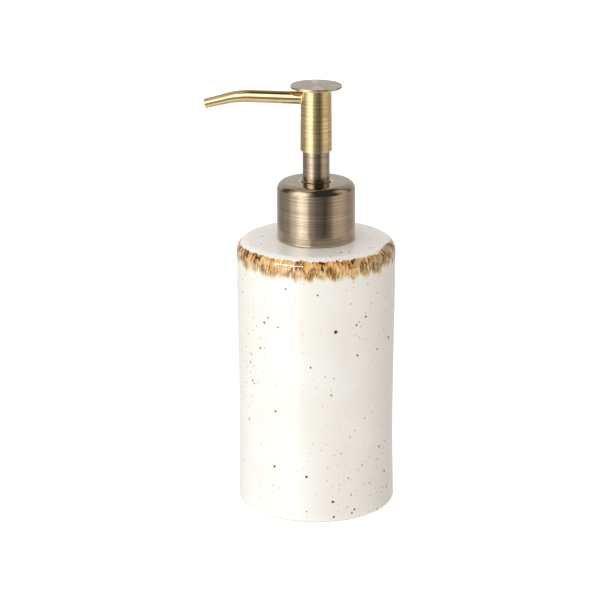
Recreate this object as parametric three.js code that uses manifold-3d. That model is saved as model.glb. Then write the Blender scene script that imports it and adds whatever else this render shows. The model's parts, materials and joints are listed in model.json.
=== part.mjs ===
// Soap pump dispenser: a hollow stoneware bottle with a brass lotion pump screwed to a plastic neck.
// Millimetres, +Z up. The origin is the centre of the bottle's base, and the spout points along -X.

import * as THREE from 'three';
import { mergeVertices } from 'three/addons/utils/BufferGeometryUtils.js';
import Module from 'manifold-3d';

// ---- Driving dimensions ----

const GAP = 0.3; // clearance between pieces that fit into each other
const THIN_GAP = 0.1; // clearance between pieces that rest or run on each other

const BOTTLE_HEIGHT = 121.8;
const BOTTLE_WALL = 4.2;
const BOTTLE_FLOOR = 6;
const BOTTLE_MOUTH_RADIUS = 12;
const BOTTLE_FOOT_ROUND = 1.9;
const BOTTLE_SHOULDER_ROUND = 5.1;
const BOTTLE_INNER_ROUND = 4;
// The side is slightly waisted: [radius, height] from the foot to the shoulder.
const BOTTLE_SIDE = [[35.2, 1.9], [34.7, 26], [34.6, 46], [34.85, 72], [35.2, 104], [35.25, 116.7]];

const COLLAR_RADIUS = 17.3;
const COLLAR_BOTTOM = 122;
const COLLAR_TOP = 147.93;
const COLLAR_ROUND = 3.66;
const COLLAR_SHEET = 0.7;
const COLLAR_HOLE_RADIUS = 6.9;

const THREAD_PITCH = 4.23; // 6 turns per inch, right-hand
const THREAD_START = 128.6; // height of the lower end of the neck's thread
const THREAD_TURNS = 1.5;
const THREAD_ROOT_WIDTH = 1.9;
const THREAD_CREST_WIDTH = 1;
const THREAD_SINK = 0.4; // how far the ridge's root reaches into the wall it stands on
const NECK_SKIRT_DEPTH = 10;
const NECK_FLANGE_RADIUS = 15.5;
const NECK_FLANGE_THICKNESS = 1.5;
const NECK_CORE_RADIUS = 12.6;
const NECK_CREST_RADIUS = 13.6;
const NECK_BORE_RADIUS = 10;
const NECK_TOP = 139;
const GASKET_THICKNESS = 1.2;
const CLOSURE_TOP = 143.6;
const CLOSURE_HOLE_RADIUS = 9;
const CLOSURE_ROOT_RADIUS = 13.95;
const CLOSURE_CREST_RADIUS = 12.95;

const STEM_RADIUS = 4;
const STEM_BORE_RADIUS = 2.2;
const STEM_BOTTOM = 111;
const STEM_TOP = 172;
const STEM_SHOULDER_RADIUS = 5.2;
const STEM_SHOULDER_TOP = 120.2;
const STEM_SLOT_WIDTH = 1.4;
const SLEEVE_RADIUS = 6;
const SLEEVE_BORE_RADIUS = 5.3;
const SLEEVE_BOTTOM = 135.5;
const SLEEVE_TOP = 165;

const CHAMBER_RADIUS = 6.8;
const CHAMBER_BOTTOM = 77.3;
const CHAMBER_TOP = 118.8;
const HOUSING_MOUTH_RADIUS = 8;
const HOUSING_WALL = 1;
const HOUSING_FLANGE_RADIUS = 13;
const HOUSING_FLANGE_TOP = 141.6;
const BUSH_FLANGE_RADIUS = 8.7;
const BUSH_TOP = 145;

const INLET_BALL_RADIUS = 2.4;
const OUTLET_BALL_RADIUS = 1.8;
const SEAT_SLOPE = 0.85; // radius gained per unit of height on a ball's conical seat

const SPRING_TOP = 105.4;
const SPRING_RADIUS = 4.9; // to the wire's centre
const SPRING_WIRE_RADIUS = 0.45;
const SPRING_COILS = 8;
const SPRING_FLAT_TURNS = 0.9; // at each end

const ROD_RADIUS = 1.9;
const ROD_FLANGE_RADIUS = 5.6;
const ROD_NOSE_RADIUS = 3.2;
const ROD_NOSE_LENGTH = 7.5;
const PISTON_BOTTOM = 108.6;
const PISTON_TOP = 117.8;

const DIP_TUBE_RADIUS = 3;
const DIP_TUBE_BORE_RADIUS = 2.2;
const DIP_TUBE_BOTTOM = 9;
const DIP_TUBE_SLANT_DEG = 35;

const BARREL_BOTTOM = 161.7;
const BARREL_TOP = 189.5;
const BARREL_RADIUS_BOTTOM = 7;
const BARREL_RADIUS_TOP = 6.75;
const BARREL_SHEET = 0.7;
const DISC_RADIUS = 11.3;
const DISC_TOP = 190.7;
const INSERT_RADIUS = 5.7;
const INSERT_BOTTOM = 165.3;
const INSERT_TOP = 188.2;

const SPOUT_HEIGHT = 184.65; // of its centreline on the barrel's axis
const SPOUT_RISE_DEG = 2;
const SPOUT_BEND_START = 28.7; // distance from the axis
const SPOUT_BEND_RADIUS = 38;
const SPOUT_BEND_DEG = 15.3;
const SPOUT_END_STRAIGHT = 10;
const SPOUT_SHEET = 0.45;
const SPOUT_ROOT_X = 6.05;
const LINER_RADIUS = 1.35;
const LINER_BORE_RADIUS = 0.85;
const LINER_ROOT_X = 2.2;
const LINER_INSET = 0.8; // from the spout's tip

const SIDES = 24;
const WIDE_SIDES = 36; // the collar and the press disc
const BOTTLE_SIDES = 48;

// ---- Materials ----

const finish = (color, roughness, metalness = 0) =>
  new THREE.MeshStandardMaterial({ color, roughness, metalness });
const glaze = () => finish(0xefe9dd, 0.15);
const agedBrass = () => finish(0x8f7657, 0.35, 1);
const goldBrass = () => finish(0xa98a50, 0.32, 1);
const steel = () => finish(0xc8c9c8, 0.2, 1);
const whitePlastic = () => finish(0xe9e8e2, 0.45);
const clearPlastic = () => finish(0xdfe3e2, 0.35);
const darkPlastic = () => finish(0x2a2a2a, 0.5);
const softRubber = () => finish(0x55524e, 0.8);

// ---- Geometry helpers ----

const wasm = await Module();
wasm.setup();

/** [radius, height] points of an arc between two angles in degrees. */
function arc(centreRadius, centreHeight, radius, fromDeg, toDeg, steps) {
  return Array.from({ length: steps + 1 }, (_, i) => {
    const angle = THREE.MathUtils.degToRad(fromDeg + ((toDeg - fromDeg) * i) / steps);
    return [centreRadius + radius * Math.cos(angle), centreHeight + radius * Math.sin(angle)];
  });
}

/** Turns [radius, height] points about +Z. They run up the outside, and a ring's profile is closed here. */
function turned(profile, sides = SIDES) {
  const points = profile.map(([radius, height]) => new THREE.Vector2(radius, height));
  if (profile[0][0] > 0) points.push(points[0].clone());
  return new THREE.LatheGeometry(points, sides).rotateX(Math.PI / 2);
}

/** A plain round tube. */
function tube(outer, inner, bottom, top, sides = SIDES) {
  return turned([[outer, bottom], [outer, top], [inner, top], [inner, bottom]], sides);
}

/** A geometry as a solid for a boolean, with shared vertices merged and empty triangles left out. */
function toSolid(geometry) {
  const bare = geometry.clone();
  bare.deleteAttribute('normal');
  bare.deleteAttribute('uv');
  const merged = mergeVertices(bare, 1e-4);
  const corners = [];
  for (let i = 0; i < merged.index.count; i += 3) {
    const [a, b, c] = [0, 1, 2].map((k) => merged.index.getX(i + k));
    if (a !== b && b !== c && c !== a) corners.push(a, b, c);
  }
  return new wasm.Manifold(new wasm.Mesh({
    numProp: 3,
    vertProperties: new Float32Array(merged.attributes.position.array),
    triVerts: new Uint32Array(corners),
  }));
}

function fromSolid(solid) {
  const { vertProperties, triVerts } = solid.getMesh();
  const geometry = new THREE.BufferGeometry();
  geometry.setAttribute('position', new THREE.BufferAttribute(vertProperties, 3));
  geometry.setIndex(new THREE.BufferAttribute(triVerts, 1));
  geometry.computeVertexNormals();
  return geometry;
}

const cut = (body, ...tools) =>
  fromSolid(tools.reduce((solid, tool) => solid.subtract(toSolid(tool)), toSolid(body)));
const join = (body, extra) => fromSolid(toSolid(body).add(toSolid(extra)));

/** A round rod along X, from one x to another, at a height. */
function crossRod(radius, fromX, toX, height, sides = 16) {
  const rod = new THREE.CylinderGeometry(radius, radius, toX - fromX, sides).rotateZ(Math.PI / 2);
  return rod.translate((fromX + toX) / 2, 0, height);
}

/** A point on the spout's centreline, its distance along it measured from the barrel's axis. */
function spoutPoint(distance) {
  const rise = THREE.MathUtils.degToRad(SPOUT_RISE_DEG);
  const bend = THREE.MathUtils.degToRad(SPOUT_BEND_DEG);
  const straight = SPOUT_BEND_START / Math.cos(rise);
  const bent = THREE.MathUtils.clamp((distance - straight) / SPOUT_BEND_RADIUS, 0, bend);
  const first = Math.min(distance, straight);
  const last = Math.max(distance - straight - SPOUT_BEND_RADIUS * bend, 0);
  const heading = rise - bent;
  const along = first * Math.cos(rise)
    + SPOUT_BEND_RADIUS * (Math.sin(rise) - Math.sin(heading)) + last * Math.cos(heading);
  const up = first * Math.sin(rise)
    + SPOUT_BEND_RADIUS * (Math.cos(heading) - Math.cos(rise)) + last * Math.sin(heading);
  return { x: -along, z: SPOUT_HEIGHT + up, heading };
}

const spoutLength = SPOUT_BEND_START / Math.cos(THREE.MathUtils.degToRad(SPOUT_RISE_DEG))
  + SPOUT_BEND_RADIUS * THREE.MathUtils.degToRad(SPOUT_BEND_DEG) + SPOUT_END_STRAIGHT;

/** The spout's outer radius: nearly even up to the bend, then tapering to the tip. */
function spoutRadius(distance) {
  const share = distance / spoutLength;
  return 2.88 - 0.15 * share - 0.58 * THREE.MathUtils.smoothstep(share, 0.55, 1);
}

/** Bends a geometry that was turned about +Z so that its axis follows the spout's centreline. */
function bendAlongSpout(geometry) {
  const position = geometry.attributes.position;
  for (let i = 0; i < position.count; i += 1) {
    const { x, z, heading } = spoutPoint(position.getZ(i));
    const side = position.getX(i);
    position.setXYZ(i, x + side * Math.sin(heading), position.getY(i), z + side * Math.cos(heading));
  }
  geometry.computeVertexNormals();
  return geometry;
}

/** A helical ridge. Its section is a trapezoid from the base radius to the crest radius. */
function threadRidge(baseRadius, crestRadius, startHeight) {
  const steps = Math.round(THREAD_TURNS * SIDES);
  const angle = THREAD_TURNS * 2 * Math.PI;
  const rise = THREAD_TURNS * THREAD_PITCH;
  const section = new THREE.Shape([
    new THREE.Vector2(-THREAD_ROOT_WIDTH / 2, baseRadius),
    new THREE.Vector2(THREAD_ROOT_WIDTH / 2, baseRadius),
    new THREE.Vector2(THREAD_CREST_WIDTH / 2, crestRadius),
    new THREE.Vector2(-THREAD_CREST_WIDTH / 2, crestRadius),
  ]);
  const ridge = new THREE.ExtrudeGeometry(section, { depth: 1, steps, bevelEnabled: false });
  const position = ridge.attributes.position;
  for (let i = 0; i < position.count; i += 1) {
    const share = position.getZ(i);
    const height = startHeight + position.getX(i) + rise * share;
    const radius = position.getY(i);
    position.setXYZ(i, radius * Math.cos(angle * share), radius * Math.sin(angle * share), height);
  }
  return ridge;
}

/** A ball's centre height when it lies on a conical seat whose throat has the given radius and height. */
const seatedHeight = (ball, throatRadius, throatHeight) =>
  throatHeight + (Math.hypot(1, SEAT_SLOPE) * (ball + THIN_GAP / 2) - throatRadius) / SEAT_SLOPE;

// ---- Bottle and neck ----

function ceramicBottle() {
  const side = new THREE.SplineCurve(BOTTLE_SIDE.map(([r, z]) => new THREE.Vector2(r, z)));
  const outer = side.getPoints(5).map(({ x, y }) => [x, y]);
  const footRadius = BOTTLE_SIDE[0][0];
  const topRadius = BOTTLE_SIDE.at(-1)[0];
  const inner = outer.slice(1, -1).reverse().map(([r, z]) => [r - BOTTLE_WALL, z]);
  const underTop = BOTTLE_HEIGHT - BOTTLE_WALL;
  return turned([
    [0, 0],
    ...arc(footRadius - BOTTLE_FOOT_ROUND, BOTTLE_FOOT_ROUND, BOTTLE_FOOT_ROUND, -90, -30, 2),
    ...outer,
    ...arc(topRadius - BOTTLE_SHOULDER_ROUND, BOTTLE_HEIGHT - BOTTLE_SHOULDER_ROUND,
      BOTTLE_SHOULDER_ROUND, 18, 90, 4),
    [BOTTLE_MOUTH_RADIUS, BOTTLE_HEIGHT],
    [BOTTLE_MOUTH_RADIUS, underTop],
    ...arc(topRadius - BOTTLE_WALL - BOTTLE_INNER_ROUND, underTop - BOTTLE_INNER_ROUND,
      BOTTLE_INNER_ROUND, 90, 0, 2),
    ...inner,
    ...arc(footRadius - BOTTLE_WALL - BOTTLE_INNER_ROUND, BOTTLE_FLOOR + BOTTLE_INNER_ROUND,
      BOTTLE_INNER_ROUND, 0, -90, 2),
    [0, BOTTLE_FLOOR],
  ], BOTTLE_SIDES);
}

function threadedNeck() {
  const skirtRadius = BOTTLE_MOUTH_RADIUS - GAP;
  const skirtBottom = BOTTLE_HEIGHT - NECK_SKIRT_DEPTH;
  const flangeTop = BOTTLE_HEIGHT + NECK_FLANGE_THICKNESS;
  const chamfer = 0.6;
  const body = turned([
    [skirtRadius, skirtBottom],
    [skirtRadius, BOTTLE_HEIGHT],
    [NECK_FLANGE_RADIUS, BOTTLE_HEIGHT],
    [NECK_FLANGE_RADIUS, flangeTop],
    [NECK_CORE_RADIUS, flangeTop],
    [NECK_CORE_RADIUS, NECK_TOP - chamfer],
    [NECK_CORE_RADIUS - chamfer, NECK_TOP],
    [NECK_BORE_RADIUS, NECK_TOP],
    [NECK_BORE_RADIUS, skirtBottom],
  ]);
  return join(body, threadRidge(NECK_CORE_RADIUS - THREAD_SINK, NECK_CREST_RADIUS, THREAD_START));
}

// ---- Collar and closure ----

function collarShell() {
  const chamfer = 0.25;
  const inside = COLLAR_RADIUS - COLLAR_SHEET;
  const underTop = COLLAR_TOP - COLLAR_SHEET;
  const centre = [COLLAR_RADIUS - COLLAR_ROUND, COLLAR_TOP - COLLAR_ROUND];
  return turned([
    [COLLAR_RADIUS - chamfer, COLLAR_BOTTOM],
    [COLLAR_RADIUS, COLLAR_BOTTOM + chamfer],
    ...arc(...centre, COLLAR_ROUND, 0, 90, 5),
    [COLLAR_HOLE_RADIUS + chamfer, COLLAR_TOP],
    [COLLAR_HOLE_RADIUS, COLLAR_TOP - chamfer],
    [COLLAR_HOLE_RADIUS, underTop],
    ...arc(...centre, COLLAR_ROUND - COLLAR_SHEET, 90, 0, 3),
    [inside, COLLAR_BOTTOM],
  ], WIDE_SIDES);
}

function threadedClosure() {
  const outside = COLLAR_RADIUS - COLLAR_SHEET - GAP;
  const bottom = BOTTLE_HEIGHT + NECK_FLANGE_THICKNESS + GAP;
  const underTop = HOUSING_FLANGE_TOP + THIN_GAP;
  const body = turned([
    [outside, bottom],
    [outside, CLOSURE_TOP],
    [CLOSURE_HOLE_RADIUS, CLOSURE_TOP],
    [CLOSURE_HOLE_RADIUS, underTop],
    [CLOSURE_ROOT_RADIUS, underTop],
    [CLOSURE_ROOT_RADIUS, bottom],
  ]);
  // Its ridge runs midway between two turns of the neck's.
  const start = THREAD_START - THREAD_PITCH / 2;
  return join(body, threadRidge(CLOSURE_ROOT_RADIUS + THREAD_SINK, CLOSURE_CREST_RADIUS, start));
}

// ---- Pump engine ----

function neckGasket() {
  return tube(NECK_CORE_RADIUS, NECK_BORE_RADIUS + GAP, NECK_TOP, NECK_TOP + GASKET_THICKNESS);
}

const inletThroat = [1.5, 71]; // radius, height
const pocketRadius = 3.3;
const tubeSocketTop = 69;
const tubeSocketBottom = 60;

function pumpHousing() {
  const mouthOutside = HOUSING_MOUTH_RADIUS + HOUSING_WALL - THIN_GAP;
  const outside = CHAMBER_RADIUS + HOUSING_WALL;
  const socketRadius = DIP_TUBE_RADIUS + GAP;
  const socketOutside = socketRadius + 1.1 * HOUSING_WALL;
  const flangeBottom = NECK_TOP + GASKET_THICKNESS;
  const [throatRadius, throatHeight] = inletThroat;
  return turned([
    [socketOutside, tubeSocketBottom],
    [socketOutside, throatHeight + HOUSING_WALL],
    [outside, CHAMBER_BOTTOM - HOUSING_WALL],
    [outside, CHAMBER_TOP - 1.5 * HOUSING_WALL],
    [mouthOutside, CHAMBER_TOP],
    [mouthOutside, flangeBottom],
    [HOUSING_FLANGE_RADIUS, flangeBottom],
    [HOUSING_FLANGE_RADIUS, HOUSING_FLANGE_TOP],
    [HOUSING_MOUTH_RADIUS, HOUSING_FLANGE_TOP],
    [HOUSING_MOUTH_RADIUS, CHAMBER_TOP + 0.8 * HOUSING_WALL],
    [CHAMBER_RADIUS, CHAMBER_TOP],
    [CHAMBER_RADIUS, CHAMBER_BOTTOM],
    [pocketRadius, CHAMBER_BOTTOM],
    [pocketRadius, throatHeight + (pocketRadius - throatRadius) / SEAT_SLOPE],
    [throatRadius, throatHeight],
    [throatRadius, tubeSocketTop],
    [socketRadius, tubeSocketTop],
    [socketRadius, tubeSocketBottom],
  ]);
}

function guideBush() {
  const outside = HOUSING_MOUTH_RADIUS - GAP;
  const inside = SLEEVE_RADIUS + GAP;
  const thickness = 1.4;
  const lipBottom = STEM_SHOULDER_TOP + GAP;
  const lipTop = lipBottom + thickness;
  const flangeBottom = HOUSING_FLANGE_TOP + THIN_GAP;
  const flangeTop = HOUSING_FLANGE_TOP + thickness;
  return turned([
    [outside, lipBottom],
    [outside, flangeBottom],
    [BUSH_FLANGE_RADIUS, flangeBottom],
    [BUSH_FLANGE_RADIUS, flangeTop],
    [outside, flangeTop],
    [outside, BUSH_TOP],
    [inside, BUSH_TOP],
    [inside, lipTop],
    [STEM_RADIUS + GAP, lipTop],
    [STEM_RADIUS + GAP, lipBottom],
  ]);
}

const cageTop = CHAMBER_BOTTOM + 2.4;

function ballCage() {
  const holeRadius = 1.8;
  const portRadius = 0.9;
  const portCircle = 3.6;
  const ring = tube(CHAMBER_RADIUS - GAP, holeRadius, CHAMBER_BOTTOM, cageTop);
  const ports = [0, 90, 180, 270].map((deg) => {
    const port = new THREE.CylinderGeometry(portRadius, portRadius, 6, 12).rotateX(Math.PI / 2);
    port.translate(portCircle, 0, CHAMBER_BOTTOM + 1).rotateZ(THREE.MathUtils.degToRad(deg));
    return port;
  });
  return cut(ring, ...ports);
}

function dipTube() {
  const whole = tube(DIP_TUBE_RADIUS, DIP_TUBE_BORE_RADIUS, DIP_TUBE_BOTTOM, tubeSocketTop - GAP);
  // The lower end is cut at a slant, so that it can't seal itself against the floor.
  const slant = THREE.MathUtils.degToRad(DIP_TUBE_SLANT_DEG);
  const wedge = new THREE.BoxGeometry(20, 10, 10).translate(0, 0, -5).rotateY(slant);
  return cut(whole, wedge.translate(0, 0, DIP_TUBE_BOTTOM + DIP_TUBE_RADIUS * Math.tan(slant)));
}

/** The spring's wire: a flat coil at each end, and an even rise between them. */
class SpringWire extends THREE.Curve {
  getPoint(t) {
    const turn = t * SPRING_COILS;
    const bottom = cageTop + SPRING_WIRE_RADIUS + THIN_GAP;
    const top = SPRING_TOP - SPRING_WIRE_RADIUS;
    const flatRise = 2 * SPRING_WIRE_RADIUS + 0.05; // of one end, whose turns nearly touch
    const fromTop = SPRING_COILS - turn;
    const flat = Math.min(turn, SPRING_FLAT_TURNS) + SPRING_FLAT_TURNS - Math.min(fromTop, SPRING_FLAT_TURNS);
    const between = (turn - SPRING_FLAT_TURNS) / (SPRING_COILS - 2 * SPRING_FLAT_TURNS);
    const height = bottom + (flatRise * flat) / SPRING_FLAT_TURNS
      + THREE.MathUtils.clamp(between, 0, 1) * (top - bottom - 2 * flatRise);
    const angle = turn * 2 * Math.PI;
    return new THREE.Vector3(SPRING_RADIUS * Math.cos(angle), SPRING_RADIUS * Math.sin(angle), height);
  }
}

function returnSpring() {
  const section = new THREE.Shape(
    Array.from({ length: 6 }, (_, i) => new THREE.Vector2(
      SPRING_WIRE_RADIUS * Math.cos((i * Math.PI) / 3),
      SPRING_WIRE_RADIUS * Math.sin((i * Math.PI) / 3),
    )),
  );
  return new THREE.ExtrudeGeometry(section, { steps: SPRING_COILS * 12, extrudePath: new SpringWire() });
}

function ball(radius, height) {
  return new THREE.SphereGeometry(radius, 16, 10).rotateX(Math.PI / 2).translate(0, 0, height);
}

// ---- Plunger ----

function pumpStem() {
  const body = turned([
    [STEM_RADIUS, STEM_BOTTOM],
    [STEM_RADIUS, STEM_SHOULDER_TOP - 1],
    [STEM_SHOULDER_RADIUS, STEM_SHOULDER_TOP - 1],
    [STEM_SHOULDER_RADIUS, STEM_SHOULDER_TOP],
    [STEM_RADIUS, STEM_SHOULDER_TOP],
    [STEM_RADIUS, STEM_TOP],
    [STEM_BORE_RADIUS, STEM_TOP],
    [STEM_BORE_RADIUS, STEM_BOTTOM],
  ]);
  // Two cross slots in the lower end let the soap in.
  const slots = [0, 90].map((deg) => new THREE.BoxGeometry(12, STEM_SLOT_WIDTH, 6)
    .translate(0, 0, STEM_BOTTOM).rotateZ(THREE.MathUtils.degToRad(deg)));
  return cut(body, ...slots);
}

/** A nose that centres the spring, a flange on top of it, and a cone that the piston's inner lip seats on. */
function pistonRod() {
  const chamfer = 0.6;
  const flangeBottom = SPRING_TOP + THIN_GAP;
  const flangeTop = flangeBottom + 1.6;
  const coneTop = flangeTop + 3.2;
  const noseBottom = flangeBottom - ROD_NOSE_LENGTH;
  const top = STEM_BOTTOM + 9;
  return turned([
    [0, noseBottom],
    [ROD_NOSE_RADIUS - chamfer, noseBottom],
    [ROD_NOSE_RADIUS, noseBottom + chamfer],
    [ROD_NOSE_RADIUS, flangeBottom],
    [ROD_FLANGE_RADIUS, flangeBottom],
    [ROD_FLANGE_RADIUS, flangeTop],
    [ROD_RADIUS, coneTop],
    [ROD_RADIUS, top],
    [0, top],
  ]);
}

/** Two thin lips flare out from the waist to wipe the chamber, and a small inner lip sits below the stem. */
function pistonSeal() {
  const outside = CHAMBER_RADIUS - GAP;
  const lipInside = outside - 0.5;
  const waist = outside - 0.9;
  const bore = STEM_RADIUS + GAP;
  const innerLip = 3.6;
  const innerLipBottom = PISTON_BOTTOM + 0.4;
  const innerLipTop = innerLipBottom + 0.7;
  return turned([
    [lipInside, PISTON_BOTTOM],
    [outside, PISTON_BOTTOM],
    [waist, PISTON_BOTTOM + 2.5],
    [waist, PISTON_TOP - 2.5],
    [outside, PISTON_TOP],
    [lipInside, PISTON_TOP],
    [bore + 0.8, PISTON_TOP - 2],
    [bore, PISTON_TOP - 2],
    [bore, innerLipTop + 0.4],
    [innerLip, innerLipTop],
    [innerLip, innerLipBottom],
    [innerLip + 1, innerLipBottom],
  ]);
}

// ---- Pump head ----

function stemSleeve() {
  return tube(SLEEVE_RADIUS, SLEEVE_BORE_RADIUS, SLEEVE_BOTTOM, SLEEVE_TOP);
}

const barrelRadius = (height) => THREE.MathUtils.mapLinear(
  height, BARREL_BOTTOM, BARREL_TOP, BARREL_RADIUS_BOTTOM, BARREL_RADIUS_TOP);

function headBarrel() {
  const chamfer = 0.15;
  const body = turned([
    [BARREL_RADIUS_BOTTOM - chamfer, BARREL_BOTTOM],
    [BARREL_RADIUS_BOTTOM, BARREL_BOTTOM + chamfer],
    [BARREL_RADIUS_TOP, BARREL_TOP],
    [BARREL_RADIUS_TOP - BARREL_SHEET, BARREL_TOP],
    [BARREL_RADIUS_BOTTOM - BARREL_SHEET, BARREL_BOTTOM],
  ]);
  const holeRadius = spoutRadius(SPOUT_ROOT_X) + GAP;
  const holeHeight = spoutPoint(BARREL_RADIUS_TOP).z;
  return cut(body, crossRod(holeRadius, -2 * BARREL_RADIUS_TOP, -BARREL_RADIUS_TOP / 2, holeHeight, 24));
}

function pressDisc() {
  const plugRadius = BARREL_RADIUS_TOP - BARREL_SHEET - GAP;
  const plugBottom = BARREL_TOP - 0.9;
  const chamfer = 0.2;
  return turned([
    [0, plugBottom],
    [plugRadius, plugBottom],
    [plugRadius, BARREL_TOP],
    [DISC_RADIUS - chamfer, BARREL_TOP],
    [DISC_RADIUS, BARREL_TOP + chamfer],
    [DISC_RADIUS, DISC_TOP - chamfer],
    [DISC_RADIUS - chamfer, DISC_TOP],
    [0, DISC_TOP],
  ], WIDE_SIDES);
}

const outletThroat = [1.1, 174.3]; // radius, height
const outletPocketRadius = 2.3;
const outletPocketTop = 179;
const wellRadius = 1.2;

function headInsert() {
  const [throatRadius, throatHeight] = outletThroat;
  const grip = STEM_RADIUS + GAP;
  const body = turned([
    [INSERT_RADIUS, INSERT_BOTTOM],
    [INSERT_RADIUS, INSERT_TOP],
    [wellRadius, INSERT_TOP],
    [wellRadius, outletPocketTop],
    [outletPocketRadius, outletPocketTop],
    [outletPocketRadius, throatHeight + (outletPocketRadius - throatRadius) / SEAT_SLOPE],
    [throatRadius, throatHeight],
    [throatRadius, STEM_TOP + GAP],
    [grip, STEM_TOP + GAP],
    [grip, INSERT_BOTTOM],
  ]);
  const channelHeight = spoutPoint(INSERT_RADIUS / 2).z;
  return cut(body, crossRod(LINER_RADIUS + GAP, -2 * INSERT_RADIUS, 0, channelHeight));
}

const evenStations = (from, to, steps = 8) =>
  Array.from({ length: steps + 1 }, (_, i) => THREE.MathUtils.lerp(from, to, i / steps));

function spoutTube() {
  const stations = evenStations(SPOUT_ROOT_X, spoutLength);
  const outer = stations.map((s) => [spoutRadius(s), s]);
  const inner = stations.map((s) => [spoutRadius(s) - SPOUT_SHEET, s]).reverse();
  return bendAlongSpout(turned([...outer, ...inner], 16));
}

function spoutLiner() {
  const stations = evenStations(LINER_ROOT_X, spoutLength - LINER_INSET);
  const outer = stations.map((s) => [LINER_RADIUS, s]);
  const inner = stations.map((s) => [LINER_BORE_RADIUS, s]).reverse();
  return bendAlongSpout(turned([...outer, ...inner], 8));
}

// ---- Assembly ----

const dispenser = new THREE.Group();

function place(parent, name, geometry, material) {
  const mesh = new THREE.Mesh(geometry, material);
  mesh.name = name;
  parent.add(mesh);
}

const vessel = new THREE.Group();
place(vessel, 'ceramic_bottle', ceramicBottle(), glaze());
place(vessel, 'threaded_neck', threadedNeck(), whitePlastic());

const collar = new THREE.Group();
place(collar, 'collar_shell', collarShell(), agedBrass());
place(collar, 'threaded_closure', threadedClosure(), whitePlastic());

const engine = new THREE.Group();
place(engine, 'neck_gasket', neckGasket(), softRubber());
place(engine, 'pump_housing', pumpHousing(), clearPlastic());
place(engine, 'guide_bush', guideBush(), darkPlastic());
place(engine, 'ball_cage', ballCage(), whitePlastic());
place(engine, 'dip_tube', dipTube(), clearPlastic());
place(engine, 'return_spring', returnSpring(), steel());
place(engine, 'inlet_ball', ball(INLET_BALL_RADIUS, seatedHeight(INLET_BALL_RADIUS, ...inletThroat)), steel());

const plunger = new THREE.Group();
place(plunger, 'stem', pumpStem(), whitePlastic());
place(plunger, 'piston_rod', pistonRod(), whitePlastic());
place(plunger, 'piston', pistonSeal(), clearPlastic());

const head = new THREE.Group();
place(head, 'stem_sleeve', stemSleeve(), agedBrass());
place(head, 'head_insert', headInsert(), whitePlastic());
place(head, 'head_barrel', headBarrel(), goldBrass());
place(head, 'press_disc', pressDisc(), goldBrass());
place(head, 'spout_tube', spoutTube(), goldBrass());
place(head, 'spout_liner', spoutLiner(), clearPlastic());
place(head, 'outlet_ball', ball(OUTLET_BALL_RADIUS, seatedHeight(OUTLET_BALL_RADIUS, ...outletThroat)), steel());

dispenser.add(vessel, engine, collar, plunger, head);

export default dispenser;
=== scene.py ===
"""The looks of a soap pump dispenser: a speckled stoneware bottle with an antique brass lotion pump.

Lengths in the outlines are millimetres, which mesh() turns into metres. +Z is up, and the spout points
along -X.
"""

import json
import math

import bpy
import numpy as np
from mathutils import Matrix, Vector


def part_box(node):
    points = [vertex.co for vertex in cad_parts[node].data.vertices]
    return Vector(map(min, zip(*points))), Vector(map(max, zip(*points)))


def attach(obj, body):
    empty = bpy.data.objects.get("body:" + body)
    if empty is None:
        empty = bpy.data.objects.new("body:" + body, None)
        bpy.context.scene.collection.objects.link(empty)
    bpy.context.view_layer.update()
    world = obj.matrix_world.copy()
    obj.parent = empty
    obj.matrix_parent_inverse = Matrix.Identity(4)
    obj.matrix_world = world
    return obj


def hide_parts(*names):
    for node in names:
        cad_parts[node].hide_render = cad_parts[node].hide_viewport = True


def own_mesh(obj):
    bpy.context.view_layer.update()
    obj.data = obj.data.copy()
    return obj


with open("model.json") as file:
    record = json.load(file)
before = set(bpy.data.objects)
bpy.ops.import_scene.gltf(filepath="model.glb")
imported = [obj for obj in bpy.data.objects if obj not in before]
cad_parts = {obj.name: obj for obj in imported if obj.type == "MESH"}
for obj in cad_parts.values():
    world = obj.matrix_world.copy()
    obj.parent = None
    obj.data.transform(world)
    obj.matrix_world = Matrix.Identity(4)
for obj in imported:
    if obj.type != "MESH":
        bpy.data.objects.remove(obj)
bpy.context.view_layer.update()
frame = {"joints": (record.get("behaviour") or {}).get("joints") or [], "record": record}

MM = 0.001
TAU = 2 * math.pi
RECORD = frame["record"]
BODY_OF = {n: body for body, members in RECORD["behaviour"]["bodies"].items() for n in members}


def span(node):
    """Outer radius, bottom and top of a CAD node turned about Z, in millimetres."""
    low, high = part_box(node)
    return high.y / MM, low.z / MM, high.z / MM


BOTTLE_RADIUS, _, BOTTLE_TOP = span("ceramic_bottle")
COLLAR_RADIUS, COLLAR_BOTTOM, COLLAR_TOP = span("collar_shell")
BARREL_RADIUS, BARREL_BOTTOM, BARREL_TOP = span("head_barrel")
DISC_RADIUS, DISC_PLUG_BOTTOM, DISC_TOP = span("press_disc")

# ---- Meshes ----


def ease(share):
    """Goes smoothly from 0 to 1 with a share."""
    return share * share * (3 - 2 * share)


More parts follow.
